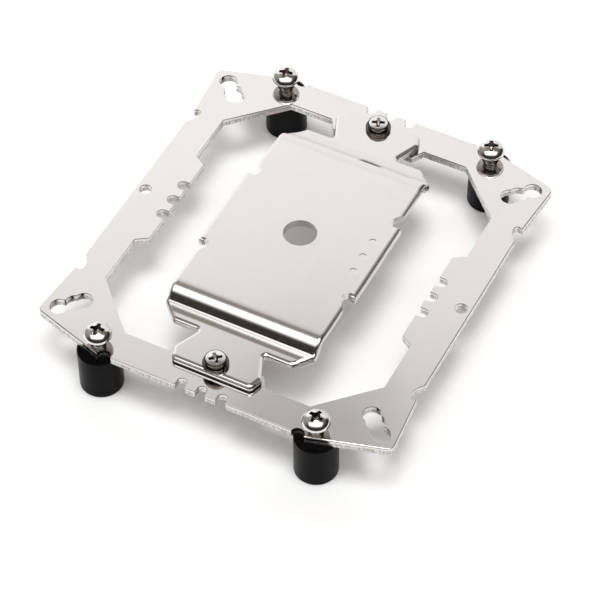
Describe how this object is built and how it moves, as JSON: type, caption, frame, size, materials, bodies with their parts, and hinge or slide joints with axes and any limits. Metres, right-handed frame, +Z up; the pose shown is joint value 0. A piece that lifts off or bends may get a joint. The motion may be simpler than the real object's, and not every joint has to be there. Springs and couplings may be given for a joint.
{
  "type": "processor cooler retention bracket",
  "caption": "Stamped ring plate on round spacers with raised corner screws and a joggled bridge plate across its window, for clamping a processor cooler to a board.",
  "frame": {"origin": "on the board plane, under the centre of the ring plate", "axes": "+X across the bridge plate, +Y along the bridge plate from one end bar to the other, +Z up from the board through the plates"},
  "size_m": [0.088, 0.1, 0.0185],
  "materials": {
    "ring_sheet": "bright nickel-plated steel sheet",
    "bridge_sheet": "bright nickel-plated steel sheet",
    "screw_steel": "polished nickel-plated steel",
    "washer_steel": "nickel-plated spring steel",
    "spacer_black": "semi-gloss black plastic"
  },
  "bodies": {
    "bracket": {"mounting_frame": "ring_sheet", "bridge_plate": "bridge_sheet", "bridge_screw_1": "screw_steel", "bridge_screw_2": "screw_steel", "lock_washer_1": "washer_steel", "lock_washer_2": "washer_steel", "spacer_1": "spacer_black", "spacer_2": "spacer_black", "spacer_3": "spacer_black", "spacer_4": "spacer_black"},
    "driven_screw_1": {"corner_screw_1": "screw_steel"},
    "driven_screw_2": {"corner_screw_2": "screw_steel"},
    "driven_screw_3": {"corner_screw_3": "screw_steel"},
    "driven_screw_4": {"corner_screw_4": "screw_steel"}
  },
  "joints": [
    {"name": "screw_1_drive", "type": "slide", "parent": "bracket", "child": "driven_screw_1", "axis": [0, 0, 1], "range_m": [-0.0024, 0]},
    {"name": "screw_2_drive", "type": "slide", "parent": "bracket", "child": "driven_screw_2", "axis": [0, 0, 1], "range_m": [-0.0024, 0]},
    {"name": "screw_3_drive", "type": "slide", "parent": "bracket", "child": "driven_screw_3", "axis": [0, 0, 1], "range_m": [-0.0024, 0]},
    {"name": "screw_4_drive", "type": "slide", "parent": "bracket", "child": "driven_screw_4", "axis": [0, 0, 1], "range_m": [-0.0024, 0]}
  ]
}
